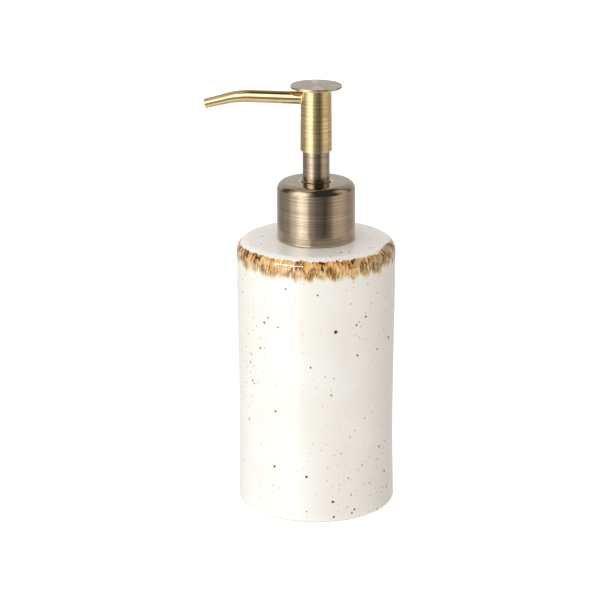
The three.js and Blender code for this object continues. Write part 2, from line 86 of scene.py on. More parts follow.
def rounded(corners, steps=5, support=0.2):
    """An outline of (radius, height, fillet) corners with each corner that has a fillet made round.

    A point close to each end of a fillet keeps the flats beside it flat when shaded smooth. The result's
    third column is 1 on the round stretches, where a finish wears, and 0 elsewhere.
    """
    points = []
    count = len(corners)
    for i, (radius, height, fillet) in enumerate(corners):
        here = np.array((radius, height))
        if not fillet:
            points.append((radius, height, 0))
            continue
        back = np.array(corners[i - 1][:2]) - here
        ahead = np.array(corners[(i + 1) % count][:2]) - here
        back_room, ahead_room = np.linalg.norm(back), np.linalg.norm(ahead)
        back, ahead = back / back_room, ahead / ahead_room
        half = math.acos(np.clip(back @ ahead, -1, 1)) / 2
        reach = fillet / math.tan(half)
        middle = back + ahead
        centre = here + middle / np.linalg.norm(middle) * fillet / math.sin(half)
        start, end = here + back * reach - centre, here + ahead * reach - centre
        sweep = math.pi - 2 * half
        if back_room > 2 * (reach + support):
            points.append((*(here + back * (reach + support)), 0))
        for k in range(steps + 1):
            share = k / steps
            mixed = math.sin((1 - share) * sweep) * start + math.sin(share * sweep) * end
            points.append((*(centre + mixed / math.sin(sweep)), 1))
        if ahead_room > 2 * (reach + support):
            points.append((*(here + ahead * (reach + support)), 0))
    return np.array(points)


def refine(outline, step):
    """Adds points to an outline so that none of its stretches is longer than step."""
    points = [outline[0]]
    for a, b in zip(outline[:-1], outline[1:]):
        parts = max(1, math.ceil(np.linalg.norm(b[:2] - a[:2]) / step))
        points += [a + (b - a) * k / parts for k in range(1, parts + 1)]
    return np.array(points)


def turned(outline, sides, shape=None):
    """Vertices, faces and edge wear of an outline turned about Z. It runs up the outside.

    An outline that doesn't start on the axis is a ring's, and is closed. shape(angle, radius, height) may
    give each point a new radius.
    """
    outline = np.asarray(outline, float)
    if outline.shape[1] == 2:
        outline = np.column_stack([outline, np.zeros(len(outline))])
    ring = outline[0][0] > 1e-9
    angle = np.arange(sides) * TAU / sides
    vertices, wear, rows = [], [], []
    for radius, height, worn in outline:
        rows.append(len(vertices))
        if radius < 1e-9:
            vertices.append((0, 0, height))
            wear.append(worn)
            continue
        reach = np.full(sides, radius) if shape is None else shape(angle, radius, height)
        vertices += list(zip(reach * np.cos(angle), reach * np.sin(angle), np.full(sides, height)))
        wear += [worn] * sides
    faces = []
    last = len(outline) if ring else len(outline) - 1
    for i in range(last):
        k = (i + 1) % len(outline)
        low, high = rows[i], rows[k]
        low_point, high_point = outline[i][0] < 1e-9, outline[k][0] < 1e-9
        for j in range(sides):
            n = (j + 1) % sides
            if low_point:
                faces.append((low, high + n, high + j))
            elif high_point:
                faces.append((low + j, low + n, high))
            else:
                faces.append((low + j, low + n, high + n, high + j))
    return np.array(vertices, float), faces, np.array(wear, float)


def mesh(name, vertices, faces, attributes=None):
    """A smooth mesh from millimetres, with one float per vertex for each attribute."""
    made = bpy.data.meshes.new(name)
    made.from_pydata((np.asarray(vertices) * MM).tolist(), [], [tuple(int(i) for i in f) for f in faces])
    made.update()
    made.shade_smooth()
    for key, values in (attributes or {}).items():
        made.attributes.new(key, "FLOAT", "POINT").data.foreach_set("value", np.asarray(values, np.float32))
    return made


def place_object(name, data):
    """Puts a new object in the scene."""
    made = bpy.data.objects.new(name, data)
    bpy.context.scene.collection.objects.link(made)
    return made


def add_piece(node, made, material):
    """Puts a mesh in the scene in place of a CAD node, on that node's body."""
    piece = place_object(node + "_shape", made)
    piece.data.materials.append(material)
    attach(piece, BODY_OF[node])
    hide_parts(node)
    return piece


def add_turned(node, outline, material, sides=128, shape=None):
    """Adds a piece that is turned about Z."""
    vertices, faces, wear = turned(outline, sides, shape)
    return add_piece(node, mesh(node, vertices, faces, {"wear": wear}), material)


def cut_holes(piece, cutters):
    """Takes the cutters' solids out of a piece and deletes them."""
    for cutter in cutters:
        modifier = piece.modifiers.new("hole", "BOOLEAN")
        modifier.operation, modifier.solver, modifier.object = "DIFFERENCE", "EXACT", cutter
    bpy.context.view_layer.update()
    evaluated = piece.evaluated_get(bpy.context.evaluated_depsgraph_get())
    result = bpy.data.meshes.new_from_object(evaluated)
    piece.modifiers.clear()
    piece.data = result
    for cutter in cutters:
        bpy.data.objects.remove(cutter)


def rod(name, radius, start, end, sides=48):
    """A round rod between two points in millimetres, for cutting."""
    start, end = Vector(start), Vector(end)
    length = (end - start).length
    vertices, faces, _ = turned([(0, 0), (radius, 0), (radius, length), (0, length)], sides)
    made = mesh(name, vertices, faces)
    made.transform((end - start).to_track_quat("Z", "Y").to_matrix().to_4x4())
    made.transform(Matrix.Translation(start * MM))
    return place_object(name, made)


# ---- Material graphs ----


class Value:
    """A node's output, which can be added, subtracted and multiplied."""

    def __init__(self, graph, socket):
        self.graph = graph
        self.socket = socket

    def __add__(self, other):
        return self.graph.math("ADD", self, other)

    def __sub__(self, other):
        return self.graph.math("SUBTRACT", self, other)

    def __rsub__(self, other):
        return self.graph.math("SUBTRACT", other, self)

    def __mul__(self, other):
        return self.graph.math("MULTIPLY", self, other)


class Graph:
    """Short ways to build a node tree. A socket is fed by a number, a colour or a value."""

    def __init__(self, tree):
        self.tree = tree
        tree.nodes.clear()

    def node(self, kind, inputs=None, **fields):
        """A new node with its settings, and with inputs by name or number."""
        made = self.tree.nodes.new(kind)
        for key, setting in fields.items():
            setattr(made, key, setting)
        self.fill(made, inputs or {})
        return made

    def fill(self, node, inputs):
        """Links a node's inputs to values or sets them to constants."""
        for key, given in inputs.items():
            if isinstance(given, Value):
                self.tree.links.new(given.socket, node.inputs[key])
            else:
                node.inputs[key].default_value = given

    def value(self, kind, output, inputs=None, **fields):
        """One output of a new node."""
        return Value(self, self.node(kind, inputs, **fields).outputs[output])

    def math(self, operation, *values):
        return self.value("ShaderNodeMath", 0, dict(enumerate(values)), operation=operation)

    def fade(self, value, low, high, first=0.0, last=1.0, kind="SMOOTHSTEP"):
        """Goes smoothly from first, where value is at low, to last, where it is at high."""
        inputs = {"Value": value, "From Min": low, "From Max": high, "To Min": first, "To Max": last}
        return self.value("ShaderNodeMapRange", "Result", inputs, interpolation_type=kind)

    def band(self, value, low, high, soft):
        """1 between low and high, and 0 outside, with soft edges."""
        rise = self.fade(value, low - soft, low + soft)
        return rise * self.fade(value, high - soft, high + soft, 1.0, 0.0)

    def vector(self, x, y, z):
        return self.value("ShaderNodeCombineXYZ", 0, {0: x, 1: y, 2: z})

    def split(self, vector):
        return [Value(self, part) for part in self.node("ShaderNodeSeparateXYZ", {0: vector}).outputs]

    def noise(self, vector, scale, detail=2.0, roughness=0.5, distortion=0.0):
        inputs = {"Vector": vector, "Scale": scale, "Detail": detail, "Roughness": roughness}
        return self.value("ShaderNodeTexNoise", "Fac", {**inputs, "Distortion": distortion})

    def cells(self, vector, scale):
        """Distance from the nearest cell's centre, in cells, and that cell's random number."""
        made = self.node("ShaderNodeTexVoronoi", {"Vector": vector, "Scale": scale}, feature="F1")
        distance, colour = (Value(self, made.outputs[name]) for name in ("Distance", "Color"))
        return distance, self.split(colour)[0]

    def ramp(self, value, stops, kind="LINEAR"):
        """Colours along a value from 0 to 1, as stops of (place, colour)."""
        made = self.node("ShaderNodeValToRGB", {"Fac": value})
        made.color_ramp.interpolation = kind
        elements = made.color_ramp.elements
        while len(elements) < len(stops):
            elements.new(0.5)
        for element, (place, colour) in zip(elements, stops):
            element.position = place
            element.color = (*colour, 1)
        return Value(self, made.outputs["Color"])

    def mix(self, share, first, last, blend="MIX"):
        """The first colour where share is 0 and the last where it is 1."""
        first, last = ((*colour, 1) if isinstance(colour, tuple) else colour for colour in (first, last))
        inputs = {0: share, 6: first, 7: last}
        return self.value("ShaderNodeMix", 2, inputs, data_type="RGBA", blend_type=blend)

    def attribute(self, name):
        return self.value("ShaderNodeAttribute", "Fac", attribute_name=name)

    def bump(self, height, distance, strength=1.0, normal=None):
        """A bump whose height, from 0 to 1, spans distance in metres."""
        inputs = {"Strength": strength, "Distance": distance, "Height": height}
        if normal is not None:
            inputs["Normal"] = normal
        return self.value("ShaderNodeBump", "Normal", inputs)


def surface(name):
    """A new material with its graph, its principled shader and the piece's own coordinates."""
    material = bpy.data.materials.new(name)
    material.use_nodes = True
    graph = Graph(material.node_tree)
    shader = graph.node("ShaderNodeBsdfPrincipled")
    graph.node("ShaderNodeOutputMaterial", {"Surface": Value(graph, shader.outputs[0])})
    place = graph.value("ShaderNodeTexCoord", "Object")
    return material, graph, shader, place


def srgb(red, green, blue):
    """A colour of 0 to 255 as the linear numbers that shaders use."""
    def linear(value):
        share = value / 255
        return share / 12.92 if share <= 0.04045 else ((share + 0.055) / 1.055) ** 2.4
    return tuple(linear(value) for value in (red, green, blue))


def round_axis(graph, place):
    """Cosine, sine, radius and height about the Z axis, the last two in metres."""
    x, y, z = graph.split(place)
    square = x * x + y * y
    radius = graph.math("SQRT", square)
    safe = graph.math("MAXIMUM", radius, 1e-5)
    return graph.math("DIVIDE", x, safe), graph.math("DIVIDE", y, safe), radius, z


# ---- The glaze band round the shoulder ----

SHOULDER_ROUND = 5.1
# Where the band starts and ends between its runs, by the measure of along_shoulder().
BAND_START = 4.4
BAND_END = 12.5
# Runs of glaze that show from the front: (azimuth from the front towards +X, width, drop), in degrees and mm.
FRONT_RUNS = [
    (-78, 4, 2.4), (-62, 5, 2.8), (-49, 4, 2.4), (-40, 4, 3.2), (-33, 4, 3.4), (-23, 5, 2.6),
    (-13, 4.5, 3.3), (-6, 4, 3.6), (4, 4.5, 2.6), (13, 5, 3.4), (21, 4, 2.4), (28, 4.5, 3.5),
    (37, 4.5, 3.2), (48, 5, 3.3), (61, 4, 2.4), (74, 4, 2.6), (85, 3, 1.8),
]
draw = np.random.default_rng(11)
BACK_RUNS = [
    (angle + draw.uniform(-3, 3), draw.uniform(3, 5.5), draw.uniform(1.6, 4.0))
    for angle in np.arange(97, 270, 11)
]
# Waves round the edges, as (how many in a turn, phase, height).
RIPPLES = [(draw.integers(9, 90), draw.uniform(0, TAU), draw.uniform(0.04, 0.2)) for _ in range(24)]


def ripple(angle, amount):
    """A small irregular wave round the bottle, the same at any angle and that angle plus a turn."""
    return amount * sum(height * np.sin(count * angle + phase) for count, phase, height in RIPPLES)


def band_edges(angle):
    """Where the band starts and ends at an angle about Z, by the measure of along_shoulder()."""
    azimuth = np.degrees(angle) + 90
    low = np.full_like(angle, BAND_END)
    for centre, width, drop in FRONT_RUNS + BACK_RUNS:
        away = (azimuth - centre + 180) % 360 - 180
        low = np.maximum(low, BAND_END + (drop - 0.8) * np.exp(-((away / (1.1 * width)) ** 4)))
    # The band starts lower at the left and climbs onto the flat top at the right.
    left = 0.7 * np.exp(-(((azimuth + 85) / 18) ** 2))
    right = 2.7 * np.exp(-(((azimuth - 72) / 13) ** 2))
    return BAND_START + left - right + ripple(angle, 0.8), low + ripple(angle, 0.9)


def along_shoulder(radius, height):
    """A measure that grows from the flat top over the shoulder and down the side, in mm."""
    return radius - (BOTTLE_RADIUS - SHOULDER_ROUND) + BOTTLE_TOP - height


def glaze_relief(angle, radius, height):
    """The band's glaze stands a little proud, most of all at the lower ends of its runs."""
    along = along_shoulder(radius, height)
    if radius < 20 or height < BOTTLE_TOP - 20:
        return np.full_like(angle, radius)
    start, end = band_edges(angle)
    rise = np.clip((along - start) / 1.2, 0, 1) * np.clip((end + 0.5 - along) / 1.4, 0, 1)
    bead = np.exp(-(((along - end + 0.8) / 0.9) ** 2))
    # The wall under the band is thinned by as much as the glaze may add.
    below_full = 0.16 * np.clip((height - BOTTLE_TOP + 20) / 3, 0, 1)
    return radius + 0.07 * ease(rise) + 0.09 * bead - below_full


# ---- Materials ----

# Specks that catch the eye: (azimuth in degrees from the front towards +X, height, radius), in mm.
BOLD_SPECKS = [
    (14, 89, 0.78), (66, 80, 0.68), (38, 94, 0.5), (30, 91, 0.45), (-22, 108, 0.45), (1, 106, 0.42),
    (-40, 91, 0.5), (31, 77, 0.48), (-4, 73, 0.45), (-52, 61, 0.5), (11, 60, 0.5), (-31, 51, 0.66),
    (-59, 43, 0.66), (38, 47, 0.52), (42, 52, 0.42), (53, 42, 0.52), (54, 31, 0.68), (-32, 25, 0.68),
    (-7, 22, 0.63), (61, 18, 0.6), (36, 25, 0.45), (12, 10, 0.52), (29, 5, 0.48),
]
# The same on the flat top, as (azimuth, distance from the axis, radius of the speck).
TOP_SPECKS = [(19, 23.6, 0.4), (25, 25.6, 0.6), (32, 27, 0.4), (12, 29.8, 0.3), (-95, 24, 0.4)]
# Scattered specks, as (spacing and radius in metres, strength, colour).
SPECK_LAYERS = [
    (0.0027, 0.00044, 0.42, srgb(150, 134, 112)),
    (0.0028, 0.00033, 0.75, srgb(112, 84, 56)),
    (0.0040, 0.00050, 0.93, srgb(74, 48, 28)),
    (0.0090, 0.00056, 0.95, srgb(58, 36, 22)),
]


def uneven_place(graph, place):
    """Coordinates shaken a little, so that round spots come out ragged."""
    wobble = graph.noise(place, 1500, 2) - 0.5
    shakes = (0.0004, -0.0004, 0.0003)
    return graph.vector(*(axis + wobble * shake for axis, shake in zip(graph.split(place), shakes)))


def marked_spots():
    """Centre and radius, in mm, of each speck that catches the eye."""
    side = [(BOTTLE_RADIUS - 0.2, azimuth, height, radius) for azimuth, height, radius in BOLD_SPECKS]
    top = [(reach, azimuth, BOTTLE_TOP, radius) for azimuth, reach, radius in TOP_SPECKS]
    for reach, azimuth, height, radius in side + top:
        turn = math.radians(azimuth)
        yield (reach * math.sin(turn), -reach * math.cos(turn), height), radius


def glaze_specks(graph, place):
    """Layers of (share of speck, share of its halo, colour) for iron that bled through the white glaze."""
    uneven = uneven_place(graph, place)
    crowd = graph.fade(graph.noise(place, 24, 1), 0.35, 0.62, 0.55, 1.15)
    layers = []
    for cell, spot, strength, colour in SPECK_LAYERS:
        distance, chance = graph.cells(uneven, 1 / cell)
        size = graph.fade(chance, 0.2, 1.0, 0.2, 1.0, "LINEAR") * crowd
        near = size * (spot / cell) - distance
        speck = graph.fade(near, -0.15 * spot / cell, 0.2 * spot / cell, 0.0, strength)
        halo = graph.fade(near, -1.0 * spot / cell, 0.0, 0.0, 0.2 * strength)
        layers.append((speck, halo, colour))
    for centre, radius in marked_spots():
        ends = {0: uneven, 1: tuple(part * MM for part in centre)}
        distance = graph.value("ShaderNodeVectorMath", "Value", ends, operation="DISTANCE")
        speck = graph.fade(distance, radius * 1.15 * MM, radius * 0.75 * MM)
        halo = graph.fade(distance, radius * 2.2 * MM, radius * MM, 0.0, 0.25)
        layers.append((speck, halo, srgb(62, 38, 24)))
    return layers


# Glaze colours by tone, as (place, colour): warm on the upper and left parts, and greyer on the rest. That is
# low down near the band's lower edge and, as a painted reflection, on the right.
CARAMEL = [
    (0.36, srgb(166, 100, 40)), (0.44, srgb(216, 148, 66)), (0.52, srgb(236, 179, 102)),
    (0.60, srgb(243, 203, 144)), (0.70, srgb(249, 232, 202)),
]
OLIVE = [
    (0.38, srgb(150, 116, 78)), (0.48, srgb(194, 158, 108)), (0.58, srgb(222, 192, 146)),
    (0.70, srgb(243, 228, 200)),
]


def along_flow(graph, axis, place):
    """Coordinates drawn out along the way the glaze ran, over the shoulder and down the side."""
    cosine, sine, radius, height = axis
    lean = (graph.noise(place, 110, 1) - 0.5) * 3.4
    flow = height - radius * 0.6
    return graph.vector(cosine * 34 + lean, sine * 34 - lean, flow * 185)


def strokes(graph, flow_place, pitch, offset):
    """Thin slanted strokes along the flow of the glaze."""
    scale_and_shift = {0: flow_place, 1: (pitch, pitch, 1.0), 2: (offset,) * 3}
    moved = graph.value("ShaderNodeVectorMath", 0, scale_and_shift, operation="MULTIPLY_ADD")
    return graph.noise(moved, 1.0, 1, 0.5)


def band_colour(graph, cosine, flow_place, fine_streak, place):
    """Caramel that turns olive low down, and on the right as a painted reflection, with pale and dark strokes
    and dark blots.
    """
    start, end = graph.attribute("band_start"), graph.attribute("band_end")
    patches = graph.noise(place, 210, 3, 0.6)
    tone = fine_streak * 0.5 + patches * 0.5
    # The olive on the right side is a painted reflection; low down, near the band's lower edge, it is the
    # glaze's own colour.
    low, right = graph.fade(end, 0.3, 5.0, 0.92, 0.0), graph.fade(cosine, 0.15, 0.8, 0.0, 0.8)
    olive_low_and_painted_reflection = graph.math("MAXIMUM", low, right)
    colour = graph.mix(olive_low_and_painted_reflection, graph.ramp(tone, CARAMEL), graph.ramp(tone, OLIVE))
    pale = graph.fade(strokes(graph, flow_place, 1.4, 19.0), 0.56, 0.64, 0.0, 0.65)
    colour = graph.mix(pale, colour, srgb(251, 234, 196))
    depth = graph.fade(start, 0.0, 9.0, kind="LINEAR")
    gathered = graph.fade(patches, 0.62, 0.42, 0.25, 1.0) * graph.fade(depth, 1.1, 0.5, 0.35, 1.0)
    for pitch, offset, low, high in ((1.3, 0.0, 0.535, 0.585), (2.1, 43.0, 0.555, 0.615)):
        stroke = graph.fade(strokes(graph, flow_place, pitch, offset), low, high) * gathered
        colour = graph.mix(stroke * 0.95, colour, srgb(86, 48, 20))
    blot = graph.fade(patches, 0.415, 0.36) * graph.fade(depth, 0.75, 0.3)
    return graph.mix(blot * 0.9, colour, srgb(64, 33, 14))


def band_masks(graph, streak, fine_streak):
    """Shares of what lies below the band's upper edge, of the band itself and of the fringe under it."""
    start, end = graph.attribute("band_start"), graph.attribute("band_end")
    ragged = (fine_streak - 0.5) * 3.4
    below_top = graph.fade(start + ragged, -0.12, 0.25)
    low_edge = end + (streak - 0.5) * 3.6
    low_edge = low_edge + (fine_streak - 0.5) * 2.2
    inside = below_top * graph.fade(low_edge, -0.5, 1.9)
    fringe = graph.fade(low_edge, -1.2, 0.1, 0.0, 0.6) * below_top
    return below_top, inside, fringe


def white_glaze(graph, place):
    """Warm white, a little uneven, with a faint blush."""
    tint = graph.fade(graph.noise(place, 38, 3), 0.35, 0.65)
    blush = graph.fade(graph.noise(place, 21, 2), 0.5, 0.72, 0.0, 0.3)
    white = graph.mix(tint, srgb(246, 244, 238), srgb(243, 240, 232))
    return graph.mix(blush, white, srgb(246, 234, 220))


def stoneware():
    """Glossy warm white glaze with iron specks and a caramel band, and bare clay under the foot."""
    material, graph, shader, place = surface("glazed_stoneware")
    axis = round_axis(graph, place)
    cosine, _, _, height = axis
    flow_place = along_flow(graph, axis, place)
    streak = graph.noise(flow_place, 1.0, 3, 0.62)
    fine_streak = graph.noise(flow_place, 1.8, 3, 0.62)
    below_top, inside, fringe = band_masks(graph, streak, fine_streak)

    colour = graph.mix(fringe, white_glaze(graph, place), srgb(249, 234, 196))
    colour = graph.mix(inside, colour, band_colour(graph, cosine, flow_place, fine_streak, place))
    marks = 0.0
    for speck, halo, iron in glaze_specks(graph, place):
        colour = graph.mix(halo, colour, srgb(222, 190, 148))
        colour = graph.mix(speck, colour, iron)
        marks = speck + marks
    grit = graph.noise(place, 1500, 3, 0.7)
    clay = graph.ramp(grit, [(0.3, srgb(192, 164, 142)), (0.6, srgb(224, 203, 186))])
    bare = graph.fade(height, 0.0005, 0.0009, 1.0, 0.0)
    colour = graph.mix(bare, colour, clay)

    smear = graph.fade(graph.noise(place, 60, 3), 0.3, 0.7, 0.16, 0.24)
    polish = below_top * graph.fade(graph.attribute("band_end"), 0.0, 3.0, 0.0, 0.13)
    rough = smear - polish + bare * 0.6
    normal = graph.bump(graph.noise(place, 150, 2), 0.00012, 0.35)
    normal = graph.bump(streak * inside, 0.00006, 0.5, normal)
    normal = graph.bump(1.0 - marks * 0.6, 0.00006, 0.5, normal)
    normal = graph.bump(grit * bare, 0.0001, 0.6, normal)
    graph.fill(shader, {"Base Color": colour, "Roughness": rough, "IOR": 1.5, "Normal": normal})
    return material


def turning(graph, axis, step, spread, offset=0.0):
    """Lines round the axis, about step metres apart, that change slowly along their length."""
    cosine, sine, radius, height = axis
    along = graph.math("DIVIDE", height - radius, step)
    place = graph.vector(cosine * spread, sine * spread, along + offset)
    return graph.noise(place, 1.0, 2, 0.6)


def turned_colour(graph, axis, line, lines_here, colour, shade, worn):
    """The metal's colour with fine lines, and a few darker and brighter ones."""
    dark_line = graph.fade(turning(graph, axis, 0.0008, 0.16, 57.0), 0.62, 0.72) * lines_here
    bright_line = graph.fade(turning(graph, axis, 0.0006, 0.14, 31.0), 0.60, 0.70) * lines_here
    colour = graph.mix(graph.fade(line, 0.40, 0.60, 1.0, 0.0) * lines_here, colour, shade)
    colour = graph.mix(dark_line * 0.55, colour, tuple(0.6 * part for part in shade))
    return graph.mix(bright_line * 0.55, colour, worn)


def painted_sunburst_highlight(graph, axis, strength, colour, shade, worn):
    """A turned face with a painted highlight in two opposite wedges and painted shade in fine spokes between
    them.
    """
    cosine, sine, radius, _ = axis
    # Painted reflection of a turned face: fine spokes of painted shade, and two wedges of painted highlight
    # that leave the centre unlit.
    painted_spoke_shade = graph.noise(graph.vector(cosine * 5, sine * 5, 0.0), 1, 3)
    across = graph.math("ABSOLUTE", cosine + sine * 0.12)
    painted_highlight_wedge = graph.fade(across, 0.45, 0.0) * graph.fade(radius, 0.0, 0.003)
    colour = graph.mix(painted_highlight_wedge * strength, colour, worn)
    return graph.mix(graph.fade(painted_spoke_shade, 0.45, 0.3, 0.0, strength), colour, shade)


def brass(name, metal, shade, worn, roughness, lines, blotches, painted_sunburst=0.0):
    """Lacquered antique brass: fine lines round the axis, brown patina and brighter worn edges."""
    material, graph, shader, place = surface(name)
    axis = round_axis(graph, place)
    facing_up = graph.split(graph.value("ShaderNodeNewGeometry", "Normal"))[2]
    lines_here = graph.fade(facing_up, 0.1, 0.8, lines, 0.25 * lines)
    broad, fine = turning(graph, axis, 0.0011, 0.03), turning(graph, axis, 0.00040, 0.06, 9.0)
    line = broad * 0.4 + fine * 0.6
    patina = graph.noise(place, 140, 4, 0.6, 0.4)
    colour = graph.mix(graph.fade(patina, 0.38, 0.68, 0.0, blotches), metal, shade)
    colour = turned_colour(graph, axis, line, lines_here, colour, shade, worn)
    # On a turned face the colour gets a painted sunburst highlight: two bright wedges and spokes of shade.
    if painted_sunburst:
        colour = painted_sunburst_highlight(graph, axis, painted_sunburst, colour, shade, worn)
    distance, chance = graph.cells(place, 1 / 0.0026)
    fleck = graph.fade(chance * 0.12 - distance, -0.03, 0.03)
    colour = graph.mix(fleck * blotches, colour, tuple(0.3 * part for part in shade))
    edge = graph.attribute("wear") * graph.fade(patina, 0.3, 0.6, 0.35, 0.8)
    graph.fill(shader, {"Base Color": graph.mix(edge, colour, worn), "Metallic": 1.0})

    rough = graph.fade(line, 0.38, 0.62, roughness + 0.035, roughness - 0.02)
    rough = rough + graph.fade(patina, 0.4, 0.7, -0.01, 0.03)
    polished = graph.fade(facing_up, 0.1, 0.55)
    rough = rough * (1.0 - polished * 0.5)
    rough = rough - edge * 0.03
    normal = graph.bump(line * lines_here, 0.00003, 0.5)
    graph.fill(shader, {"Roughness": rough, "Coat Weight": 0.25, "Coat Roughness": 0.08, "Normal": normal})
    if lines > 0.2:
        # Light spreads across the lines, which run round the axis.
        tangent = graph.value("ShaderNodeTangent", 0, direction_type="RADIAL", axis="Z")
        graph.fill(shader, {"Anisotropic": 0.6, "Anisotropic Rotation": 0.25, "Tangent": tangent})
    return material


def plastic(name, light, dark, roughness, clear=0.0):
    """Moulded plastic: faint flow marks, a fine spark-eroded grain and slightly polished edges."""
    material, graph, shader, place = surface(name)
    flow = graph.fade(graph.noise(place, 90, 3, 0.55, 1.2), 0.35, 0.65)
    grain = graph.noise(place, 2600, 2)
    rough = graph.fade(grain, 0.3, 0.7, roughness - 0.06, roughness + 0.08)
    rough = rough - graph.attribute("wear") * 0.1
    normal = graph.bump(grain, 0.00002, 0.4)
    graph.fill(shader, {"Base Color": graph.mix(flow, light, dark), "Roughness": rough, "Normal": normal})
    depth = {"Subsurface Radius": (0.002,) * 3, "Subsurface Scale": 1.0}
    graph.fill(shader, {"Subsurface Weight": clear, **depth})
    return material


def rubber():
    """Soft matte rubber with a dusty bloom."""
    material, graph, shader, place = surface("gasket_rubber")
    bloom = graph.noise(place, 260, 4, 0.6)
    colour = graph.mix(graph.fade(bloom, 0.4, 0.7), srgb(70, 67, 63), srgb(104, 100, 95))
    rough = graph.fade(bloom, 0.3, 0.7, 0.65, 0.85)
    normal = graph.bump(graph.noise(place, 1800, 2), 0.00003, 0.5)
    graph.fill(shader, {"Base Color": colour, "Roughness": rough, "Normal": normal})
    return material


def steel():
    """Bright stainless steel with faint drawing marks."""
    material, graph, shader, place = surface("polished_steel")
    marks = graph.noise(place, 700, 3, 0.6)
    colour = graph.mix(marks, srgb(196, 197, 198), srgb(224, 224, 222))
    rough = graph.fade(marks, 0.3, 0.7, 0.12, 0.26)
    normal = graph.bump(marks, 0.00001, 0.4)
    graph.fill(shader, {"Base Color": colour, "Metallic": 1.0, "Roughness": rough, "Normal": normal})
    return material


STONEWARE = stoneware()
AGED = brass("aged_brass", srgb(183, 165, 142), srgb(131, 113, 90), srgb(228, 211, 180), 0.16, 0.7, 0.22)
GOLD = brass("gold_brass", srgb(232, 208, 158), srgb(172, 145, 94), srgb(244, 224, 178), 0.18, 0.75, 0.4)
SMOOTH_GOLD = brass(
    "smooth_brass", srgb(214, 190, 144), srgb(168, 142, 96), srgb(236, 212, 164), 0.1, 0.12, 0.15,
)
# The disc's last number is the strength of its painted sunburst highlight.
DISC = brass("disc_brass", srgb(184, 168, 146), srgb(132, 114, 92), srgb(236, 216, 182), 0.36, 0.3, 0.25, 0.8)
WHITE = plastic("white_plastic", srgb(236, 235, 230), srgb(228, 226, 219), 0.42)
NATURAL = plastic("natural_plastic", srgb(222, 226, 224), srgb(212, 217, 215), 0.34, 0.3)
DARK = plastic("dark_plastic", srgb(34, 33, 32), srgb(24, 24, 24), 0.45)
RUBBER = rubber()
STEEL = steel()

# ---- Bottle and neck ----

# The side's outline is slightly waisted: (radius, height) from the foot to the shoulder.
SIDE = [(35.2, 1.9), (34.7, 26), (34.6, 46), (34.85, 72), (35.2, 104), (35.25, BOTTLE_TOP - SHOULDER_ROUND)]
WALL = 4.2
FLOOR = 6
MOUTH_RADIUS = 12
FOOT_ROUND = 1.9


def smooth_line(stations, step):
    """Points along a Catmull-Rom curve through the stations."""
    padded = np.array([stations[0], *stations, stations[-1]], float)
    points = []
    for p0, p1, p2, p3 in zip(padded, padded[1:], padded[2:], padded[3:]):
        parts = max(2, round(np.linalg.norm(p2 - p1) / step))
        for t in np.arange(parts) / parts:
            points.append(0.5 * (
                2 * p1 + (p2 - p0) * t + (2 * p0 - 5 * p1 + 4 * p2 - p3) * t * t
                + (3 * p1 - p0 - 3 * p2 + p3) * t ** 3
            ))
    return [*points, padded[-1]]


def arc(centre, radius, start, end, steps):
    """Points of an arc between two angles in degrees."""
    angles = np.radians(np.linspace(start, end, steps + 1))
    return [(centre[0] + radius * math.cos(a), centre[1] + radius * math.sin(a)) for a in angles]


def bottle_outline():
    """From the middle of the foot up the outside, over the top, and down round the hollow."""
    side = smooth_line(SIDE, 3)
    foot_centre = (SIDE[0][0] - FOOT_ROUND, FOOT_ROUND)
    shoulder_centre = (SIDE[-1][0] - SHOULDER_ROUND, BOTTLE_TOP - SHOULDER_ROUND)
    under_top = BOTTLE_TOP - WALL
    lower = [(0, 0), (10, 0), (25, 0), *arc(foot_centre, FOOT_ROUND, -90, 0, 10)[:-1]]
    band = [p for p in side if p[1] > BOTTLE_TOP - 17]
    plain = [p for p in side if p[1] <= BOTTLE_TOP - 17]
    shoulder = [*band, *arc(shoulder_centre, SHOULDER_ROUND, 0, 90, 24)[1:], (28.5, BOTTLE_TOP)]
    shoulder = refine(np.column_stack([shoulder, np.zeros(len(shoulder))]), 0.3)[:, :2]
    mouth = rounded([
        (28, BOTTLE_TOP, 0), (MOUTH_RADIUS, BOTTLE_TOP, 0.6),
        (MOUTH_RADIUS, under_top, 0.6), (28, under_top, 0),
    ])[1:-1, :2]
    inside = [(p[0] - WALL, p[1]) for p in reversed(side) if FLOOR + 4 < p[1] < under_top - 4]
    ceiling_edge, floor_edge = arc((27, under_top - 4), 4, 90, 0, 6), arc((27, FLOOR + 4), 4, 0, -90, 6)
    hollow = [*ceiling_edge, *inside, *floor_edge, (0, FLOOR)]
    return np.array([*lower, *plain, *shoulder, *mouth, *hollow], float)


def add_bottle():
    """The bottle, whose points know how far they are inside the glaze band's two edges."""
    vertices, faces, _ = turned(bottle_outline(), 480, glaze_relief)
    radius = np.hypot(vertices[:, 0], vertices[:, 1])
    along = along_shoulder(radius, vertices[:, 2])
    start, end = band_edges(np.arctan2(vertices[:, 1], vertices[:, 0]))
    # The band stays off the mouth, the lower side and the hollow.
    off = -20
    hidden = (radius < 22) | (vertices[:, 2] < BOTTLE_TOP - 24)
    inner = (radius <= 30.5) & (vertices[:, 2] < BOTTLE_TOP - 1)
    start = np.where(hidden | inner, off, along - start)
    end = np.where(hidden, off, end - along)
    made = mesh("bottle", vertices, faces, {"band_start": start, "band_end": end})
    add_piece("ceramic_bottle", made, STONEWARE)


THREAD_PITCH = 4.23
THREAD_START = 128.6
THREAD_TURNS = 1.5


